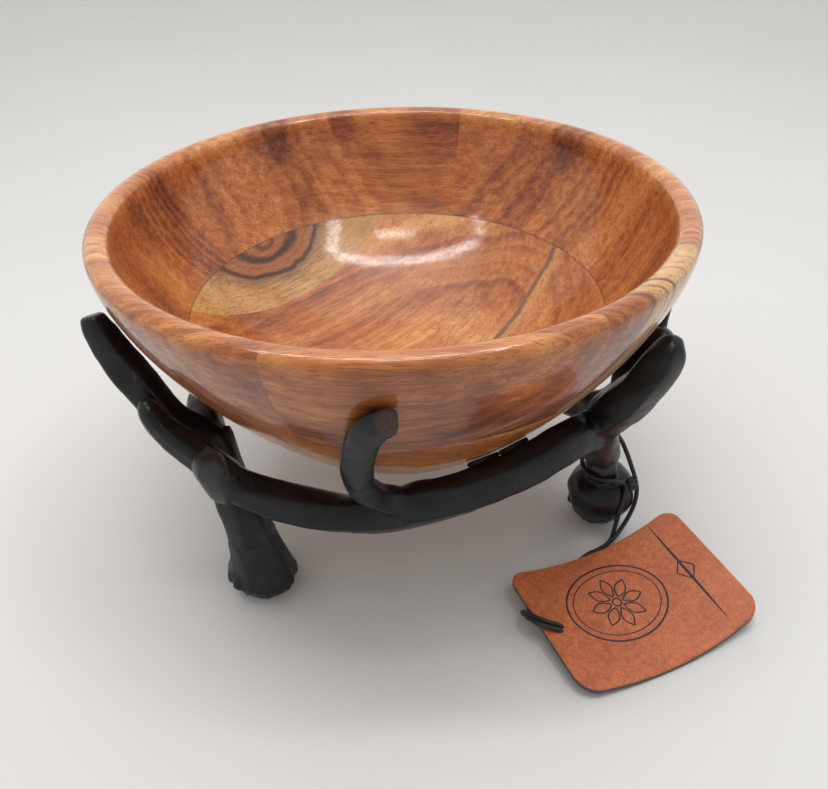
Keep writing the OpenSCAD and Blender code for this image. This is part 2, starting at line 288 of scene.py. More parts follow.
def dark_line(s, colour, value, at, width, share, ink=(0.055, 0.018, 0.010)):
    """Draws a line where value is close to at."""
    line = s.fit(s.math("ABSOLUTE", s.math("SUBTRACT", value, at)), width, width * 0.2)
    return s.mix(s.math("MULTIPLY", line, share), colour, ink)


def plank_axes(s, here):
    """Distances along the planks of the lower board and across them, from the bowl's axis."""
    x, y = s.split(here)[:2]
    cos_az, sin_az = math.cos(rad(PLANK_AZ)), math.sin(rad(PLANK_AZ))
    along = s.math("ADD", s.math("MULTIPLY", x, cos_az), s.math("MULTIPLY", y, sin_az))
    across = s.math("SUBTRACT", s.math("MULTIPLY", x, sin_az), s.math("MULTIPLY", y, cos_az))
    return along, across


# The knot in the left plank: its middle along and across the planks, its half sizes, and its
# dark rings as (share of the size, width, strength)
KNOT_AT, KNOT_SIZE = (2.0, -96.0), (37.0, 14.0)
KNOT_RINGS = [(1.0, 0.11, 0.92), (0.74, 0.04, 0.25), (0.50, 0.17, 0.95), (0.14, 0.10, 0.7)]


def pale_sapwood(s, colour, here, bent, fibre):
    """Nearly all sapwood, with dark almond-shaped rings round a knot at the bowl's wall."""
    u, v = plank_axes(s, here)
    wave = s.noise(s.stretch(here, (0.07, 0.07, 0.07)), detail=4, rough=0.6)
    u = s.math("DIVIDE", s.math("SUBTRACT", u, KNOT_AT[0]), KNOT_SIZE[0])
    v = s.math("DIVIDE", s.math("SUBTRACT", v, KNOT_AT[1]), KNOT_SIZE[1])
    size = s.math("SQRT", s.math("ADD", s.math("MULTIPLY", u, u), s.math("MULTIPLY", v, v)))
    size = s.weigh(wave, 0.30, size)
    pale = s.ramp(s.math("ADD", s.math("MULTIPLY", fibre, 0.6), s.math("MULTIPLY", wave, 0.4)), [
        (0.32, (0.40, 0.17, 0.045)), (0.5, (0.56, 0.29, 0.090)), (0.70, (0.68, 0.42, 0.165))])
    brown = s.mix(fibre, (0.20, 0.048, 0.014), (0.58, 0.21, 0.065))
    haze = s.math("MULTIPLY", s.fit(s.math("MULTIPLY_ADD", fibre, 0.6, size), 1.95, 1.25), 0.8)
    made = s.mix(haze, pale, (0.20, 0.080, 0.034))
    made = s.mix(s.fit(size, 1.0, 0.9), made, brown)
    for at, width, dark in KNOT_RINGS:
        made = dark_line(s, made, size, at, width, dark)
    return made


def right_plank_streak(s, colour, here, bent, fibre):
    """A dark streak and a pale stripe beside the glue joint."""
    v = plank_axes(s, here)[1]
    wave = s.noise(s.stretch(here, (0.08, 0.08, 0.08)), detail=4, rough=0.6)
    v = s.weigh(wave, 5.0, v)
    pale = s.mix(fibre, (0.46, 0.19, 0.05), (0.76, 0.44, 0.16))
    made = s.mix(s.math("MULTIPLY", s.fit(v, 40.0, 33.0), 0.7), colour, pale)
    return dark_line(s, made, v, 30.5, 2.4, 0.72, (0.10, 0.035, 0.016))


# Dark growth lines of the front right block: (distance across the grain, width, strength)
FRONT_LINES = [(-86.0, 1.6, 0.8), (-80.0, 0.9, 0.6), (-76.0, 1.2, 0.8), (-68.0, 0.8, 0.4),
               (-52.0, 1.2, 0.5), (-95.0, 1.0, 0.4), (-102.0, 1.3, 0.5)]


def front_sapwood(s, colour, here, bent, fibre):
    """A pale band with dark edge lines in the outermost growth rings."""
    pale = s.ramp(fibre, [(0.3, (0.52, 0.25, 0.09)), (0.7, (0.78, 0.50, 0.23))])
    y = s.split(bent)[1]
    band = s.math("MULTIPLY", s.fit(y, -88.0, -80.0), s.fit(y, -48.0, -58.0))
    made = s.mix(band, colour, pale)
    for at, width, dark in FRONT_LINES:
        made = dark_line(s, made, y, at, width, dark, (0.09, 0.03, 0.014))
    return made


BLACK_SHADES = [(0.0036, 0.0043, 0.0062), (0.0062, 0.0072, 0.0098), (0.0140, 0.0157, 0.0200)]
# A lighter grey copy of the black for the knuckles: painted highlight where they face up to the
# light
KNUCKLE_HIGHLIGHT_SHADES = [(0.030, 0.030, 0.031), (0.060, 0.060, 0.061), (0.10, 0.10, 0.101)]
BARE_METAL, SCUFFED = (0.085, 0.085, 0.09), (0.075, 0.075, 0.078)
RAW_DARK, RAW_LIGHT = (0.010, 0.007, 0.006), (0.13, 0.075, 0.06)


def blackened_metal(name="blackened_metal", shades=BLACK_SHADES, raw_at=None, bare=()):
    """Satin black over cast metal, with faint cloudy wear and fine casting grain. raw_at is the
    middle of a broken rough end; bare are lighter ground patches as (x, y, z, radius)."""
    s = Shader(name)
    here = s.where()
    cloud = s.noise(here, scale=0.045, detail=4, rough=0.6)
    speck = s.noise(here, scale=0.9, detail=3, rough=0.7)
    scuff = s.noise(s.stretch(here, (0.25, 0.25, 0.08)), detail=4, rough=0.7)
    colour = s.ramp(cloud, list(zip((0.35, 0.52, 0.68), shades)))
    for x, y, z, r in bare:
        away = s.math("MULTIPLY_ADD", scuff, 8.0, s.vmath("DISTANCE", here, (x, y, z), out=1))
        colour = s.mix(s.math("MULTIPLY", s.fit(away, r + 4.5, r + 2.0), 0.85), colour, BARE_METAL)
    colour = s.mix(s.math("MULTIPLY", s.fit(scuff, 0.60, 0.72), 0.35), colour, SCUFFED)
    rough = s.weigh(scuff, 0.25, s.fit(cloud, 0.3, 0.7, 0.30, 0.40))
    if raw_at:
        away = s.vmath("DISTANCE", here, raw_at, out=1)
        raw = s.fit(s.math("ADD", away, s.math("MULTIPLY", speck, 5.0)), 9.5, 7.0)
        colour = s.mix(raw, colour, s.mix(speck, RAW_DARK, RAW_LIGHT))
        rough = s.math("MAXIMUM", rough, s.math("MULTIPLY", raw, 0.75))
    height = s.math("ADD", s.math("MULTIPLY", speck, 0.35), s.math("MULTIPLY", cloud, 1.5))
    return s.finish(Base_Color=colour, Roughness=rough, Specular_IOR_Level=0.36,
                    Normal=s.bump(height, 0.35, 0.5))


def plain_black(name, rough, colour, grain_mm, depth_mm):
    """Rubber, felt or cord: one dark colour with a fine grain."""
    s = Shader(name)
    here = s.where()
    speck = s.noise(here, scale=1 / grain_mm, detail=3, rough=0.65)
    light = tuple(c * 2.1 for c in colour)
    return s.finish(Base_Color=s.mix(speck, colour, light), Roughness=rough,
                    Normal=s.bump(speck, depth_mm, 0.7))


def tan_leather():
    s = Shader("tan_leather")
    here = s.where()
    patch = s.noise(here, scale=0.055, detail=4, rough=0.6)
    mottle = s.noise(here, scale=0.35, detail=4, rough=0.7)
    pebble = s.cells(here, 1.5)
    pore = s.cells(here, 2.8)
    level = s.math("ADD", s.math("MULTIPLY", patch, 0.30), s.math("MULTIPLY", mottle, 0.70))
    colour = s.ramp(level, [(0.34, (0.42, 0.095, 0.030)), (0.50, (0.60, 0.155, 0.048)),
                            (0.66, (0.74, 0.225, 0.075))])
    crease = s.math("MULTIPLY", s.fit(pebble, 0.45, 0.75), 0.40)
    colour = s.mix(crease, colour, (0.27, 0.055, 0.020))
    height = s.math("ADD", s.math("MULTIPLY", pebble, -0.6), s.math("MULTIPLY", pore, -0.4))
    return s.finish(Base_Color=colour, Roughness=s.fit(mottle, 0.3, 0.7, 0.42, 0.56),
                    Normal=s.bump(height, 0.12, 0.45))


def pale_floor():
    s = Shader("pale_floor")
    here = s.where()
    cloud = s.noise(here, scale=0.004, detail=2)
    colour = s.ramp(cloud, [(0.3, (0.745, 0.74, 0.725)), (0.7, (0.77, 0.765, 0.75))])
    return s.finish(Base_Color=colour, Roughness=0.55, Specular_IOR_Level=0.25)


# ---------------------------------------------------------------- bowl
def bezier(p, t):
    """Points of the cubic curve with four control points, at the shares t."""
    p = np.asarray(p, float)
    t = np.asarray(t)[:, None]
    return ((1 - t) ** 3 * p[0] + 3 * (1 - t) ** 2 * t * p[1]
            + 3 * (1 - t) * t * t * p[2] + t ** 3 * p[3])


BASE_R = 69.0
LIP_R, LIP_HALF, LIP_H = 123, 5, 4
OUTER = [(BASE_R, BASE_Z), (113, BASE_Z + 45), (BOWL_R, RIM_Z - 17), (BOWL_R, RIM_Z - LIP_H)]
INNER = [(117.9, RIM_Z - 5), (116, RIM_Z - 18), (107, GLUE_Z + 11), (GLUE_R, GLUE_Z)]
LIP_ANGLES = np.radians(np.arange(10, 170, 8))
DISH_POWER = 2.6
TURNS = 288


def bowl_profile():
    """Radius and height from the middle of the base, up the outside, over the lip and in."""
    base = [(r, BASE_Z) for r in np.linspace(0.0, BASE_R - 2, 18)]
    outer = bezier(OUTER, np.linspace(0, 1, 44))
    lip = [(LIP_R + LIP_HALF * math.cos(a), RIM_Z - LIP_H + LIP_H * math.sin(a))
           for a in LIP_ANGLES]
    inner = bezier(INNER, np.linspace(0, 1, 26))
    radii = np.linspace(GLUE_R, 0, 42)[1:]
    bottom = BASE_Z + FLOOR_T
    dish = [(r, bottom + (GLUE_Z - bottom) * (r / GLUE_R) ** DISH_POWER) for r in radii]
    return np.concatenate([base, outer, lip, inner, dish])


def bowl_blank():
    """The whole turned bowl as a closed bmesh, in millimetres."""
    profile = bowl_profile()
    rows = profile[1:-1]
    angles = np.radians(np.arange(TURNS) * 360 / TURNS)
    verts = [(0, 0, profile[0][1])]
    verts += [(r * math.cos(a), r * math.sin(a), z) for r, z in rows for a in angles]
    verts.append((0, 0, profile[-1][1]))
    top = len(verts) - 1
    bm = bmesh.new()
    made = [bm.verts.new(v) for v in verts]

    def at(i, n):
        return made[1 + i * TURNS + n % TURNS]

    for n in range(TURNS):
        bm.faces.new((made[0], at(0, n + 1), at(0, n)))
        bm.faces.new((at(len(rows) - 1, n), at(len(rows) - 1, n + 1), made[top]))
        for i in range(len(rows) - 1):
            bm.faces.new((at(i, n), at(i, n + 1), at(i + 1, n + 1), at(i + 1, n)))
    return bm


def cut(bm, point, normal):
    """Keeps the side that normal points away from, and closes the cut with a flat face."""
    whole = bm.verts[:] + bm.edges[:] + bm.faces[:]
    result = bmesh.ops.bisect_plane(bm, geom=whole, plane_co=point, plane_no=normal,
                                    clear_outer=True, dist=1e-4)
    edges = [g for g in result["geom_cut"] if isinstance(g, bmesh.types.BMEdge)]
    for edge in edges:
        edge.smooth = False
    filled = bmesh.ops.triangle_fill(bm, use_beauty=True, edges=edges, use_dissolve=False)
    for g in filled["geom"]:
        if isinstance(g, bmesh.types.BMFace):
            g.smooth = False
            g.material_index = 0


def wood_piece(node, planes, material):
    """One glued piece of the bowl, cut out of the turned shape by planes."""
    bm = bowl_blank()
    for f in bm.faces:
        f.smooth = True
    for point, normal in planes:
        cut(bm, point, normal)
    bmesh.ops.recalc_face_normals(bm, faces=bm.faces)
    bmesh.ops.scale(bm, vec=(MM, MM, MM), verts=bm.verts)
    mesh = bpy.data.meshes.new("wood_" + node)
    bm.to_mesh(mesh)
    bm.free()
    mesh.materials.append(material)
    obj = bpy.data.objects.new("wood_" + node, mesh)
    bpy.context.scene.collection.objects.link(obj)
    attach(obj, BOWL)
    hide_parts(node)


JOINT_AZ = [3, 71, 150, 205, 250, 302, 363]    # glue joints of the ring
PLANK_AZ = 48                                  # azimuth of the lower board's planks
JOINT_LEFT, JOINT_RIGHT = -68, 29              # its glue joints, from the bowl's axis
FRONT_STAIN = (20, -116, 128, 26)
# What each piece of wood looks like, see wood()
BLOCKS = {
    "block_back_right": dict(fibre_az=4, tone=0.0, seed=1.7, gap=6.0, stains=[(96, 76, 156, 24)]),
    "block_back": dict(fibre_az=-3, tone=0.0, seed=4.1, gap=9.0, heart=(15, -20, 300), bow=0.011,
                       stains=[(-62, 98, 154, 26), (-30, 114, 156, 22), (24, 118, 156, 30)]),
    "block_back_left": dict(fibre_az=2, tone=-0.04, seed=7.3, gap=5.0,
                            stains=[(-112, 46, 150, 22), (-118, 8, 148, 26)]),
    "block_left": dict(fibre_az=-6, tone=-0.09, seed=11.9, gap=5.5),
    "block_front_left": dict(fibre_az=-3, tone=-0.13, seed=15.2, gap=4.5, stains=[FRONT_STAIN]),
    "block_front_right": dict(fibre_az=-6, tone=-0.13, seed=19.6, gap=5.0, sap=front_sapwood,
                              stains=[FRONT_STAIN]),
}
PLANKS = {
    "plank_left": dict(fibre_az=PLANK_AZ, tone=0.1, seed=23.4, gap=9.0, heart=(0, 60, -150),
                       sap=pale_sapwood),
    "plank_middle": dict(fibre_az=PLANK_AZ - 5, tone=0.05, seed=31.0, gap=7.0,
                         heart=(0, -40, -130)),
    "plank_right": dict(fibre_az=PLANK_AZ, tone=0.02, seed=37.7, gap=6.0, heart=(0, 30, -190),
                        sap=right_plank_streak),
}


def build_bowl():
    for i, (node, look) in enumerate(BLOCKS.items()):
        a, b = rad(JOINT_AZ[i]), rad(JOINT_AZ[i + 1])
        planes = [((0, 0, GLUE_Z), (0, 0, -1)),
                  ((0, 0, 0), (math.sin(a), -math.cos(a), 0)),
                  ((0, 0, 0), (-math.sin(b), math.cos(b), 0))]
        wood_piece(node, planes, wood("wood_" + node, **look))
    side = np.array([math.sin(rad(PLANK_AZ)), -math.cos(rad(PLANK_AZ)), 0])
    below = ((0, 0, GLUE_Z), (0, 0, 1))
    spans = {"plank_left": (None, JOINT_LEFT), "plank_middle": (JOINT_LEFT, JOINT_RIGHT),
             "plank_right": (JOINT_RIGHT, None)}
    for node, (low, high) in spans.items():
        planes = [below]
        if low is not None:
            planes.append((side * low, -side))
        if high is not None:
            planes.append((side * high, side))
        wood_piece(node, planes, wood("wood_" + node, **PLANKS[node]))


# ---------------------------------------------------------------- antlers
LEFT_TURN, BACK_TURN = -112, 118
# Stations are [azimuth, radius, height, width, thickness] for the right antler. Width is seen from
# outside the bowl, thickness is measured towards its axis. The other two are turned copies.
CUP_FOOT = [[-19.6, 105.8, -2, 14, 14], [-19.8, 105.8, 2, 18, 17], [-20.8, 105.8, 9.5, 28, 26.5],
            [-22, 106, 19, 32, 30.5], [-22.6, 105.7, 26, 27, 26], [-22.9, 105.5, 29.5, 18, 18]]
BELL_FOOT = [[-22, 100.5, -1.5, 14, 14], [-22, 100.5, 1.5, 24, 22], [-21.6, 100.3, 8, 32, 28],
             [-21.6, 100, 14, 28, 26], [-22.3, 100, 21, 25, 23], [-23.4, 100, 29, 22, 21]]
NECK_LEG = [[-22.6, 105.6, 27, 15, 15], [-24, 105, 36, 14, 14], [-27, 104.5, 48, 15, 16],
            [-31, 104, 61, 18, 18], [-35, 103, 74, 20, 19]]
BELL_LEG = [[-23.2, 100, 27.5, 22.5, 21.5], [-25.4, 100.3, 38, 19, 18],
            [-28.6, 100.5, 51, 18.5, 17.5], [-32, 100.5, 64, 19, 18], [-36, 101, 75, 20, 19]]
BEAM = [[-33, 103.4, 72, 19, 18], [-40, 100, 75, 19, 17], [-48, 97, 75, 18.5, 16.5],
        [-58, 93, 70, 18.5, 17], [-67, 88.5, 65, 18.5, 17], [-76, 84.5, 59, 20, 16.5],
        [-86, 81.5, 54.5, 22, 17], [-95, 79.8, 48.5, 19.5, 16.5], [-106, 80, 45.5, 18, 17],
        [-118, 85, 47.5, 18, 17.5], [-128, 93, 53.5, 17, 17], [-134, 101, 61.5, 16, 16],
        [-136.5, 107, 70.5, 15, 15]]
TIP_FRONT = [[-135.5, 105, 67.5, 15, 15], [-138.2, 111, 79, 16, 14.5],
             [-140.5, 118, 91, 15, 13], [-142, 123, 101, 12.5, 10.5], [-143.5, 124, 107.5, 9.5, 8],
             [-143.8, 124.6, 110.5, 3, 3]]
TIP_FAR = [[-135.5, 105, 67.5, 15, 15], [-138, 110.5, 79, 15, 17], [-140, 113.5, 91, 17, 21],
           [-140, 117.5, 103, 15, 19], [-139, 121, 110, 12, 13], [-138.6, 123, 113.5, 6, 6]]
SPUR = [[-137, 117, 86, 8, 8], [-135, 118, 96, 10, 8], [-133, 119.5, 108, 9, 7],
        [-131.5, 121, 118, 6, 5], [-131, 121.4, 121, 2, 2]]
BOWL_TINE = [[-85, 82, 54, 13, 13], [-91.5, 82, 57, 14, 13], [-98, 88, 66.5, 13, 12],
             [-100.5, 96, 80.5, 12, 10.5], [-99.8, 104.5, 94, 12, 9.5], [-98.5, 113, 108, 12, 8.5],
             [-96.6, 121.8, 124.3, 12, 7.5], [-94.7, 125.5, 133, 12.5, 6],
             [-92.5, 127.2, 137.5, 12, 5], [-90.6, 127.5, 138, 9, 4.4]]
BLADE_TINE = [[-34, 103.5, 73, 18, 16], [-33.5, 106.5, 80, 22.5, 17.5], [-33.5, 112.5, 90, 23, 19],
              [-33, 119, 101, 22.5, 17.5], [-31.5, 124, 112, 19, 16], [-31.5, 126.5, 120, 15, 11],
              [-31.6, 128, 123.5, 6, 5]]
LONG_TINE = [[-35, 102, 74, 18, 17], [-35.5, 107, 82, 18, 16], [-36.5, 115, 92, 18, 15],
             [-39, 120.5, 105, 18, 15.5], [-41.5, 126, 118, 17.5, 15.5],
             [-43, 129.5, 131, 15.5, 12.5], [-44, 130.5, 137.5, 11, 9]]
KNUCKLE_FRONT = [[-136, 105.5, 57, 9, 9], [-135.6, 108, 63, 13, 12], [-135.2, 111, 72, 15, 13],
                 [-134.8, 113, 81, 15, 13], [-134.4, 113.5, 88, 9, 9]]
KNUCKLE_FAR = [[-132, 101, 58, 9, 9], [-137, 103, 64, 14, 16], [-141, 104, 70, 15, 18],
               [-144, 104, 75, 14, 16], [-147, 104, 79, 8, 9]]

VOXEL = 1.05
FACET_SHARE, FACET_GROWTH = 0.75, 1.09
# Lumps of the cast surface, as (height, size) in millimetres; the last are the feet's pits
HAND_WORK, HAMMERING, PIT_SIZE = (0.7, 17.0), (0.25, 6.0), 2.4
PIT_DEPTH, PIT_TOP, PIT_FADE = 0.75, 15.0, 6.0


def facet_reach(angles, count, phase):
    """How far a soft polygon with count sides reaches at each angle, beside a circle."""
    step = 2 * math.pi / count
    off = (angles - phase + step / 2) % step - step / 2
    return FACET_GROWTH - FACET_SHARE * (1 - math.cos(step / 2) / np.cos(off))


def place(stations, turn):
    """Rows of x, y, z, width and thickness from stations, turned about the bowl's axis."""
    s = np.asarray(stations, float)
    a = np.radians(s[:, 0] + turn)
    return np.column_stack([s[:, 1] * np.cos(a), s[:, 1] * np.sin(a), s[:, 2], s[:, 3], s[:, 4]])


MEMBER_STEPS, MEMBER_SIDES = 9, 48


def member(stations, turn=0, facets=6, phase=20, ridges=()):
    """A swept member with soft flat facets along it. A ridge is (angle, height, half width in
    degrees), with angle 0 on the side away from the bowl."""
    rows = smooth_path(place(stations, turn), MEMBER_STEPS)
    angles = np.radians(np.arange(MEMBER_SIDES) * 360 / MEMBER_SIDES)
    c, s = np.cos(angles), np.sin(angles)
    lift = np.zeros(MEMBER_SIDES)
    for at, height, half in ridges:
        off = (np.degrees(angles) - at + 180) % 360 - 180
        lift += height * np.exp(-(off / half) ** 2)
    rings = []
    last = len(rows) - 1
    for i, row in enumerate(rows):
        t = unit(rows[min(i + 1, last)][:3] - rows[max(i - 1, 0)][:3])
        a = np.array([row[0], row[1], 0])
        a = unit(a - a.dot(t) * t)
        b = np.cross(t, a)
        grow = lift * min(1.0, 6.0 * i / last, 4.0 * (last - i) / last)
        reach = facet_reach(angles, facets, rad(phase + 25 * math.sin(2.6 * i / last)))
        rings.append(row[:3] + np.outer(c * (reach * row[4] / 2 + grow), a)
                     + np.outer(s * (reach * row[3] / 2 + grow), b))
    return skin(rings)


BLOB_ROWS, BLOB_SIDES, BLOB_POLE = 10, 18, 0.12


def blob(centre, radii, turn=0.0):
    """A lump: an ellipsoid turned about Z, with small flat poles."""
    lat = np.linspace(-math.pi / 2 + BLOB_POLE, math.pi / 2 - BLOB_POLE, BLOB_ROWS)
    lon = np.arange(BLOB_SIDES) * 2 * math.pi / BLOB_SIDES
    cz, sz = math.cos(turn), math.sin(turn)
    rings = []
    for p in lat:
        x, y = radii[0] * math.cos(p) * np.cos(lon), radii[1] * math.cos(p) * np.sin(lon)
        z = np.full(BLOB_SIDES, radii[2] * math.sin(p))
        rings.append(np.column_stack([x * cz - y * sz, x * sz + y * cz, z]) + centre)
    return skin(rings)


FOOT_KNOBS = 9


def foot_knobs(az, radius, turn, seed, reach, height):
    """Lumps round the bottom ring of a foot, which rise a little towards its outer side."""
    a = rad(az + turn)
    centre = np.array([radius * math.cos(a), radius * math.sin(a), 0])
    out = []
    for n in range(FOOT_KNOBS):
        b = 2 * math.pi * (n + 0.25 * math.sin(seed + 5 * n)) / FOOT_KNOBS
        size = 3.6 + 0.9 * math.sin(3.1 * n + seed)
        lean = 3.2 * math.cos(b - a) + 2.0 * math.cos(b)
        at = centre + [reach * math.cos(b), reach * math.sin(b), height + lean]
        out.append(blob(at, (size, size * 1.1, size * 0.8), b))
    return out


def knobbly(p):
    """How strongly a foot's lowest part is pitted, in millimetres."""
    return PIT_DEPTH * max(0.0, min(1.0, (PIT_TOP - p[2]) / PIT_FADE))


def casting(name, parts, nodes, material, seed):
    """Merges swept members into one cast form with blended forks and a hand-worked surface."""
    verts, faces = merge(parts)
    obj = add_mesh(name, verts, faces, [material])
    remesh = obj.modifiers.new("remesh", "REMESH")
    remesh.mode = "VOXEL"
    remesh.voxel_size = VOXEL * MM
    remesh.use_smooth_shade = True
    relax = obj.modifiers.new("relax", "SMOOTH")
    relax.factor = 0.5
    relax.iterations = 2
    bake_modifiers(obj)
    mesh = obj.data
    co = np.zeros(len(mesh.vertices) * 3)
    mesh.vertices.foreach_get("co", co)
    normal = np.zeros(len(mesh.vertices) * 3)
    mesh.vertices.foreach_get("normal", normal)
    co, normal = co.reshape(-1, 3) / MM, normal.reshape(-1, 3)
    lift = [HAND_WORK[0] * noise.noise(Vector(p / HAND_WORK[1]) + Vector((seed, 0, 0)))
            + HAMMERING[0] * noise.noise(Vector(p / HAMMERING[1]) + Vector((0, seed, 0)))
            + knobbly(p) * noise.noise(Vector(p / PIT_SIZE) + Vector((seed, seed, 0))) for p in co]
    co += normal * np.array(lift)[:, None]
    co[:, 2] = np.maximum(co[:, 2], 0.0)
    mesh.vertices.foreach_set("co", (co * MM).ravel())
    mesh.update()
    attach(obj, STAND)
    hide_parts(*nodes)


# The three antlers: (name, turn about the bowl's axis, seed of the surface)
ANTLERS = [("right", 0, 2.0), ("left", LEFT_TURN, 13.0), ("back", BACK_TURN, 27.0)]
# Where the black is ground off on the right leg, beside the knuckle there, as (x, y, z, radius)
GROUND_SPOTS = [(94, -52, 44, 7), (99, -48, 39, 4)]
RAW_END = (3.0, -1.0, 1.5)     # broken end of the front tine, from its last station but one


def build_stand():
    metal = blackened_metal()
    tip = place(BOWL_TINE, 0)[-2][:3]
    worn = blackened_metal("blackened_metal_worn", raw_at=tuple(tip + RAW_END), bare=GROUND_SPOTS)
    # The knuckles get the black finish in lighter shades, a painted highlight
    knuckle_painted_highlight = blackened_metal("knuckle_painted_highlight", shades=KNUCKLE_HIGHLIGHT_SHADES)
    for side, turn, seed in ANTLERS:
        right, back = side == "right", side == "back"
        parts = [member(CUP_FOOT if right else BELL_FOOT, turn, 9),
                 member(NECK_LEG if right else BELL_LEG, turn, 6, 5),
                 member(BEAM, turn, 5, 8),
                 member(TIP_FAR if back else TIP_FRONT, turn, 6, 30, [(60, 0.9, 9)]),
                 member(BOWL_TINE, turn, 5, 30)]
        if right:
            parts.append(member(BLADE_TINE, turn, 5, 15, [(110, 1.0, 10)]))
            parts += foot_knobs(-20.8, 105.8, turn, seed, 11.5, 12.5)
        else:
            parts.append(member(LONG_TINE, turn, 5, 40))
            parts += foot_knobs(-21.8, 100.4, turn, seed, 13.0, 7.5)
        if back:
            parts.append(member(SPUR, turn))
        names = ["burr", "leg", "beam", "tip", "bowl_tine", "brow_tine"]
        names += ["spur"] if back else []
        casting("antler_" + side, parts, [f"{n}_{side}" for n in names],
                worn if right else metal, seed)
        # Each knuckle is cast on its own, in the painted highlight grey
        highlit_knuckle = [member(KNUCKLE_FAR if back else KNUCKLE_FRONT, turn, 7)]
        casting("weld_" + side, highlit_knuckle, ["knuckle_" + side], knuckle_painted_highlight, seed + 5)


# ---------------------------------------------------------------- pads
PAD_T, PAD_EDGE, SEAT_GAP = 2.0, 0.5, 0.3
# A pad: (azimuth, share of the way up the bowl's outer curve, length, width)
PADS = [(-56.5, 0.12, 12, 8), (-65, 0.08, 13, 8)]


def build_pads():
    rubber = plain_black("pad_rubber", 0.8, (0.010, 0.010, 0.011), 0.6, 0.15)
    for side, turn, _ in ANTLERS:
        parts = []
        for az, t, length, width in PADS:
            here, near = bezier(OUTER, [t, t + 0.01])
            slope = math.atan2(near[1] - here[1], near[0] - here[0])
            spin = (Matrix.Rotation(rad(az + turn), 4, "Z")
                    @ Matrix.Translation((here[0], 0, here[1]))
                    @ Matrix.Rotation(-slope, 4, "Y")
                    @ Matrix.Translation((0, 0, -PAD_T / 2 - SEAT_GAP))
                    @ Matrix.Diagonal((width, length, PAD_T, 1)))
            bm = bmesh.new()
            bmesh.ops.create_cube(bm, size=1.0, matrix=spin)
            bmesh.ops.bevel(bm, geom=bm.edges[:], offset=PAD_EDGE, segments=3, affect="EDGES")
            bmesh.ops.subdivide_edges(bm, edges=bm.edges[:], cuts=1, use_grid_fill=True)
            bm.verts.index_update()
            parts.append(([tuple(v.co) for v in bm.verts],
                          [[v.index for v in f.verts] for f in bm.faces]))
            bm.free()
        obj = add_mesh("rest_pads_" + side, *merge(parts), [rubber])
        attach(obj, STAND)
        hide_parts("pads_" + side)


# ---------------------------------------------------------------- hang tag
TAG_L, TAG_W, TAG_CORNER = 93.0, 64.0, 8.0
TAG_AT, TAG_TURN = (100.2, -96.3), 22
CURL_R, CURL_LOW, TAG_TILT, TAG_BOW = 220.0, -6.8, 3.4, 4.3
HOLE_AT, HOLE_R = (-38.3, -2.7), 2.6
BACKING_T, FACE_T = 1.0, 1.6
EDGE_STEPS = np.array([0.0, 0.35, 0.9, 1.8])   # rows close to the edge, where the face rounds off


def tag_point(u, v, depth, bowed=True):
    """A point of the curled tag: u along it, v across it, at a height above its underside."""
    if bowed:
        v = v - TAG_BOW * (1 - (2 * u / TAG_L) ** 2)
    curl = CURL_R - math.sqrt((CURL_R - depth) ** 2 - (u - CURL_LOW) ** 2)
    z = (v + TAG_W / 2 + TAG_BOW) * math.tan(rad(TAG_TILT)) + curl / math.cos(rad(TAG_TILT))
    c, s = math.cos(rad(TAG_TURN)), math.sin(rad(TAG_TURN))
    return (TAG_AT[0] + u * c - v * s, TAG_AT[1] + u * s + v * c, z)


def half_width(u):
    """Half of the tag's width at a place along it, less at the rounded corners."""
    past = abs(u) - (TAG_L / 2 - TAG_CORNER)
    if past <= 0:
        return TAG_W / 2
    return TAG_W / 2 - TAG_CORNER + math.sqrt(max(TAG_CORNER ** 2 - past ** 2, 0.0))


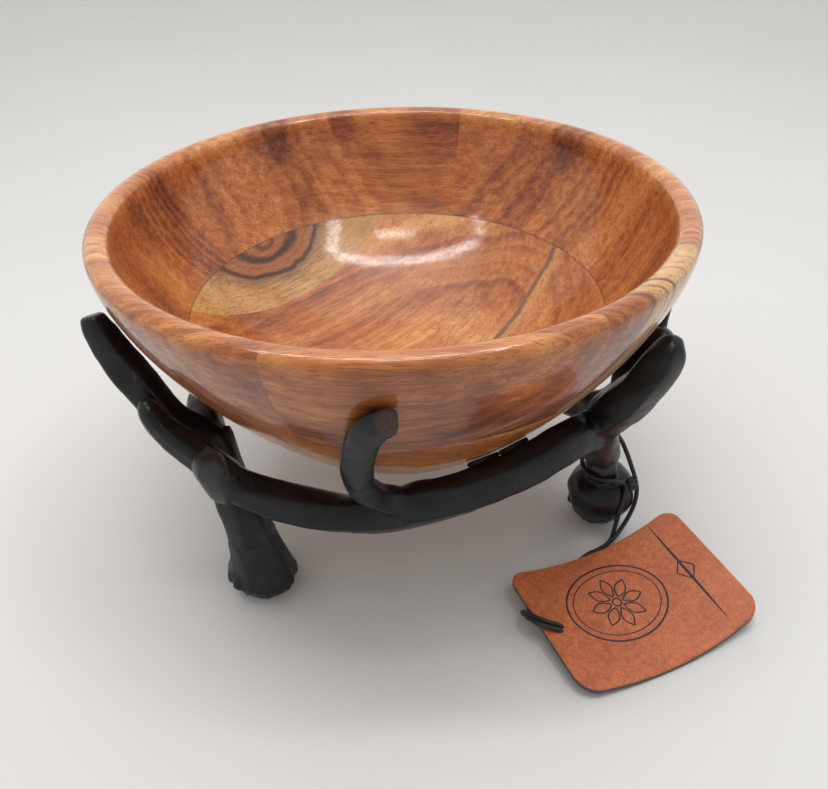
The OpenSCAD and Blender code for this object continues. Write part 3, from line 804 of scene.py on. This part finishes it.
def tag_layer(name, low, high, crown, materials):
    """One layer of the tag, as a grid of columns across it, with rounded edges."""
    inner = np.linspace(-TAG_L / 2 + TAG_CORNER, TAG_L / 2 - TAG_CORNER, 60)
    bend = TAG_CORNER * np.sin(np.radians(np.arange(6, 91, 6)))
    us = np.concatenate([inner[0] - bend[::-1], inner, inner[-1] + bend])
    columns = []
    for u in us:
        w = half_width(u)
        vs = np.concatenate([-w + EDGE_STEPS, np.linspace(-w, w, 36)[3:-3], w - EDGE_STEPS[::-1]])
        columns.append([(u, v) for v in np.sort(vs)])
    rows = len(columns[0])
    verts, faces = [], []
    for depth, top in ((low, False), (high, True)):
        for i, column in enumerate(columns):
            for u, v in column:
                near = min(half_width(u) - abs(v), TAG_L / 2 - abs(u))
                dip = crown * (1 - min(near / 1.2, 1.0)) ** 2
                verts.append(tag_point(u, v, depth - dip if top else depth))
    size = len(columns) * rows
    for i in range(len(columns) - 1):
        for j in range(rows - 1):
            a, b = i * rows + j, (i + 1) * rows + j
            c, d = b + 1, a + 1
            faces.append((a, d, c, b))
            faces.append((a + size, b + size, c + size, d + size))
    rim = [i * rows for i in range(len(columns))]
    rim += [(len(columns) - 1) * rows + j for j in range(1, rows)]
    rim += [i * rows + rows - 1 for i in range(len(columns) - 2, -1, -1)]
    rim += [j for j in range(rows - 2, 0, -1)]
    walls = len(faces)
    for n, a in enumerate(rim):
        b = rim[(n + 1) % len(rim)]
        faces.append((a, b, b + size, a + size))
    obj = add_mesh(name, verts, faces, materials)
    if len(materials) > 1:
        for n, polygon in enumerate(obj.data.polygons):
            polygon.material_index = 0 if n < walls and n % 2 else 1
    drill = add_mesh("drill", *skin([[(*tag_spot(HOLE_AT, HOLE_R, a), z) for a in range(0, 360, 10)]
                                     for z in (-2.0, 20.0)]), [materials[-1]])
    boolean = obj.modifiers.new("hole", "BOOLEAN")
    boolean.object = drill
    boolean.operation = "DIFFERENCE"
    boolean.solver = "EXACT"
    bpy.context.view_layer.update()
    bake_modifiers(obj)
    bpy.data.objects.remove(drill)
    obj.data.set_sharp_from_angle(angle=rad(50))
    return obj


def tag_spot(centre, radius, angle):
    """A point of a circle that is drawn flat on the tag, seen from above."""
    u, v = centre[0] + radius * math.cos(rad(angle)), centre[1] + radius * math.sin(rad(angle))
    return tag_point(u, v, 0.0, bowed=False)[:2]


STROKE_LIFT = 0.05


def stroke(points, width, taper=False):
    """A line burnt into the tag's face: a thin ribbon just above it."""
    p = np.asarray(points, float)
    rings, total = [], len(p) - 1
    for i in range(len(p)):
        t = p[min(i + 1, total)] - p[max(i - 1, 0)]
        t = t / np.hypot(*t)
        n = np.array([-t[1], t[0]])
        w = width / 2
        if taper:
            w *= 0.25 + 0.75 * math.sin(math.pi * i / total)
        top = BACKING_T + FACE_T
        sides = [p[i] + n * w, p[i] + n * w * 0.5, p[i] - n * w * 0.5, p[i] - n * w]
        lifts = (-STROKE_LIFT, STROKE_LIFT, STROKE_LIFT, -STROKE_LIFT)
        rings.append([tag_point(q[0], q[1], top + lift, bowed=False)
                      for q, lift in zip(sides, lifts)])
    rings = np.array(rings)
    faces = [(i * 4 + k, i * 4 + k + 1, (i + 1) * 4 + k + 1, (i + 1) * 4 + k)
             for i in range(total) for k in range(3)]
    return rings.reshape(-1, 3), faces


def oval(centre, radii, steps):
    """Points of an oval, with the first repeated at its end."""
    return [(centre[0] + radii[0] * math.cos(a), centre[1] + radii[1] * math.sin(a))
            for a in np.radians(np.linspace(0, 360, steps))]


def leaf(base, angle, length, width):
    """A leaf's outline as two arcs from its base to its tip."""
    out = []
    for side in (1, -1):
        line = []
        for t in np.linspace(0, 1, 12):
            x, y = length * t, side * width / 2 * math.sin(math.pi * t)
            c, s = math.cos(rad(angle)), math.sin(rad(angle))
            line.append((base[0] + x * c - y * s, base[1] + x * s + y * c))
        out.append(line)
    return out


RULE_U, RING_AT = 31, (-7, 0)
DIAMOND = (4.6, 5.6)
PETALS, PETAL_L, PETAL_W, PETAL_START = 8, 10, 5, 3


def build_tag():
    leather = tan_leather()
    edge = plain_black("tag_edge_paint", 0.5, (0.035, 0.038, 0.045), 0.5, 0.06)
    ink = plain_black("tag_burnt_line", 0.6, (0.012, 0.009, 0.012), 0.4, 0.1)
    face = tag_layer("tag_leather", BACKING_T, BACKING_T + FACE_T, 0.45, [leather, edge])
    back = tag_layer("tag_back", 0.0, BACKING_T, 0.0, [edge])
    # Plain rule with a small diamond, across the far end, and a ring round a flower
    parts = [stroke([(RULE_U, v) for v in range(-28, 29, 4)], 1.9, taper=True),
             stroke(oval((RULE_U, 0), DIAMOND, 5), 1.1),
             stroke(oval(RING_AT, (24, 19), 90), 1.2),
             stroke(oval(RING_AT, (21, 16), 90), 0.7)]
    for n in range(PETALS):
        angle = 360 / PETALS * n
        start = (RING_AT[0] + PETAL_START * math.cos(rad(angle)),
                 RING_AT[1] + PETAL_START * math.sin(rad(angle)))
        parts += [stroke(line, 0.95) for line in leaf(start, angle, PETAL_L, PETAL_W)]
    parts.append(stroke(oval(RING_AT, (2, 2), 24), 1.0))
    motif = add_mesh("tag_motif", *merge(parts), [ink])
    for obj, node, slot in ((face, "tag_face", "tan_leather"), (back, "tag_backing", "backing")):
        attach(obj, STAND)
        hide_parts(node)
    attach(motif, STAND)


# ---------------------------------------------------------------- cords
CORD_D = 2.2
HITCH_AT, STOPPER_AT = (109.7, -49.2, 29.8), (65.7, -113.2, 2.0)
KNOT_STEPS = 14     # points to a turn of a knot
# Each strand's middle line, from the hitch round the leg to the knot under the tag
ROUTE_INNER = [
    (105.5, -35.5, 36), (98.5, -31.6, 37), (91, -33, 37.5), (86.9, -40, 37.5), (88, -47.4, 36.8),
    (93.4, -51.6, 35.8), (100.4, -51.8, 34.4), (106.4, -50.6, 30.4), (105.6, -53.4, 24),
    (103.5, -56.4, 17), (102.3, -57.8, 9), (100.7, -60.1, 3.2), (97.2, -62.8, 1.3),
    (92.4, -65.3, 1.2), (86.9, -68, 1.2), (77.6, -76, 1.2), (69.7, -84, 1.2), (61.5, -92, 1.2),
    (55, -98.2, 1.4), (51.4, -101.4, 2.8), (50.2, -102.9, 6), (51, -105.4, 8.9),
    (53.7, -108.4, 10.3), (57.3, -110.8, 10.4), (60.8, -111.9, 9.8), (64, -112.3, 8.7),
    (66, -112.1, 6.4), (66.1, -112.1, 3.6)]
ROUTE_OUTER = [
    (100.5, -44, 57), (103.6, -43.6, 52), (106.8, -43.8, 45), (109.8, -44.8, 37.5),
    (112.4, -47, 30), (113.4, -48.6, 24), (112.6, -50.6, 17), (109.4, -53.8, 10.6),
    (105.4, -57.4, 6.6),
    (100.9, -61.5, 5), (96.7, -64.2, 3.3), (92, -66.9, 2.9), (86.7, -70.5, 1.8),
    (79.3, -77.8, 1.2), (71.4, -85.7, 1.2), (63.2, -93.7, 1.2), (56.8, -99.9, 1.4),
    (52.8, -103.2, 2.8), (51.4, -104.9, 6), (51.4, -107.8, 8.9), (53.5, -110.8, 10.1),
    (56.5, -113.1, 10.2), (60, -114.2, 9.7), (63.2, -114.6, 8.7), (65.2, -114.3, 6.4),
    (65.3, -114.3, 3.6)]


LAY, GROOVE, CORD_SIDES = 7.0, 0.05, 18


def cord_tube(points, radius):
    """A round cord of three twisted strands: shallow grooves run round it."""
    p = np.asarray(points, float)
    last = len(p) - 1
    side = np.array([0.1, 0.2, 1.0])
    travelled, rings = 0.0, []
    for i in range(len(p)):
        t = unit(p[min(i + 1, last)] - p[max(i - 1, 0)])
        side = unit(side - side.dot(t) * t)
        other = np.cross(t, side)
        travelled += 0.0 if i == 0 else np.linalg.norm(p[i] - p[i - 1])
        ring = []
        for n in range(CORD_SIDES):
            a = 2 * math.pi * n / CORD_SIDES
            dip = GROOVE * (1 - abs(math.cos(1.5 * (a - 2 * math.pi * travelled / LAY))))
            ring.append(p[i] + radius * (1 - dip) * (side * math.cos(a) + other * math.sin(a)))
        rings.append(ring)
    return skin(rings)


def knot_path(centre, radius, turns, rise, tilt):
    """A winding round an upright axis that leans by tilt."""
    steps = turns * KNOT_STEPS
    lean = Matrix.Rotation(rad(tilt), 3, "Y")
    out = []
    for i in range(int(steps) + 1):
        a = 2 * math.pi * i / KNOT_STEPS
        spot = Vector((radius * math.cos(a), radius * math.sin(a), rise * (i / steps - 0.5)))
        out.append(np.array(lean @ spot) + centre)
    return out


def build_cords():
    black = plain_black("waxed_cord", 0.5, (0.008, 0.008, 0.009), 0.5, 0.12)
    hitch = add_mesh("cord_hitch", *merge([
        cord_tube(knot_path(HITCH_AT, 2.0, 2.6, 4.4, 18), 1.15),
        blob(HITCH_AT, (1.9, 1.9, 2.6))]), [black])
    stopper = add_mesh("cord_stopper", *merge([
        cord_tube(knot_path(STOPPER_AT, 1.5, 1.6, 1.2, 4), 0.95),
        blob(STOPPER_AT, (1.8, 1.8, 1.5))]), [black])
    for obj, node in ((hitch, "hitch_knot"), (stopper, "stopper_knot")):
        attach(obj, STAND)
        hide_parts(node)
    for name, route in (("inner", ROUTE_INNER), ("outer", ROUTE_OUTER)):
        path = smooth_path(route, 6)
        obj = add_mesh("cord_strand_" + name, *cord_tube(path, CORD_D / 2), [black])
        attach(obj, STAND)
        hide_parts("cord_" + name)


# ---------------------------------------------------------------- stage
FLOOR_HALF, FLOOR_CELLS, FLOOR_Z = 4000.0, 8, -0.15


def build_floor():
    count = FLOOR_CELLS + 1
    steps = np.linspace(-FLOOR_HALF, FLOOR_HALF, count)
    verts = [(x, y, FLOOR_Z) for y in steps for x in steps]
    faces = [(j * count + i, j * count + i + 1, (j + 1) * count + i + 1, (j + 1) * count + i)
             for j in range(FLOOR_CELLS) for i in range(FLOOR_CELLS)]
    floor = add_mesh("studio_floor", verts, faces, [pale_floor()])


def area_light(name, at, look_at, size, radiance):
    """A rectangular soft light; radiance is its brightness, whatever its size."""
    data = bpy.data.lights.new(name, "AREA")
    data.shape = "RECTANGLE"
    data.size, data.size_y = size
    data.energy = radiance * math.pi * size[0] * size[1]
    obj = bpy.data.objects.new(name, data)
    obj.location = at
    obj.rotation_euler = (Vector(look_at) - Vector(at)).to_track_quat("-Z", "Y").to_euler()
    bpy.context.scene.collection.objects.link(obj)


ROOM_COLOUR, ROOM_STRENGTH = (1.0, 0.985, 0.96, 1), 0.86
ROOM_GRADES = ((1, 0.26), (2, -0.34))      # (axis, change of strength along it)
STRIP_HEIGHT = 0.95
# A frame of light strips above the bowl, which shows in the lacquer: (name, x, y, size along x,
# size along y, radiance), in metres
STRIPS = [("strip_front", -0.07, 0.0, 0.74, 0.06, 17.0),
          ("strip_right", -0.47, -0.10, 0.05, 0.18, 10.0),
          ("strip_left", 0.33, -0.12, 0.06, 0.22, 14.0),
          ("strip_lamp", 0.0, -0.18, 0.20, 0.04, 16.0)]


def build_lights():
    world = bpy.data.worlds.new("studio")
    world.use_nodes = True
    tree = world.node_tree
    background = tree.nodes["Background"]
    background.inputs[0].default_value = ROOM_COLOUR
    # The room is dimmer on the camera's side and towards the ceiling
    direction = tree.nodes.new("ShaderNodeTexCoord")
    split = tree.nodes.new("ShaderNodeSeparateXYZ")
    tree.links.new(direction.outputs[0], split.inputs[0])
    strength = None
    for axis, share in ROOM_GRADES:
        grade = tree.nodes.new("ShaderNodeMath")
        grade.operation = "MULTIPLY_ADD"
        grade.inputs[1].default_value = share
        grade.inputs[2].default_value = ROOM_STRENGTH
        tree.links.new(split.outputs[axis], grade.inputs[0])
        if strength is not None:
            tree.links.new(strength, grade.inputs[2])
        strength = grade.outputs[0]
    tree.links.new(strength, background.inputs[1])
    bpy.context.scene.world = world
    area_light("overhead", (0.1, 0.35, 1.5), (0, 0, 0.1), (1.5, 1.1), 1.0)
    for name, x, y, wide, deep, radiance in STRIPS:
        area_light(name, (x, y, STRIP_HEIGHT), (x, y, 0), (wide, deep), radiance)


CAMERA_AT = (0.0, -313.2, 288.7)
YAW, PITCH, ROLL = 0.0211, 0.6465, -0.0278
SENSOR_WIDTH = 36.0
LENS_SHARE = 760 / 828      # focal length as a share of the picture's width


def build_camera():
    """The camera looks down from the front, turned by YAW, lowered by PITCH, tipped by ROLL."""
    forward = Vector((math.sin(YAW) * math.cos(PITCH), math.cos(YAW) * math.cos(PITCH),
                      -math.sin(PITCH)))
    level_right = Vector((math.cos(YAW), -math.sin(YAW), 0))
    level_up = level_right.cross(forward)
    right = level_right * math.cos(ROLL) + level_up * math.sin(ROLL)
    up = level_up * math.cos(ROLL) - level_right * math.sin(ROLL)
    data = bpy.data.cameras.new("camera")
    data.sensor_width = SENSOR_WIDTH
    data.lens = SENSOR_WIDTH * LENS_SHARE
    data.clip_start = 0.01
    obj = bpy.data.objects.new("camera", data)
    turn = Matrix((right, up, -forward)).transposed().to_4x4()
    obj.matrix_world = Matrix.Translation(Vector(CAMERA_AT) * MM) @ turn
    bpy.context.scene.collection.objects.link(obj)
    bpy.context.scene.camera = obj


build_camera()
build_lights()
build_floor()
build_tag()
build_cords()
build_bowl()
build_stand()
build_pads()

bpy.context.scene.view_settings.view_transform = "Standard"
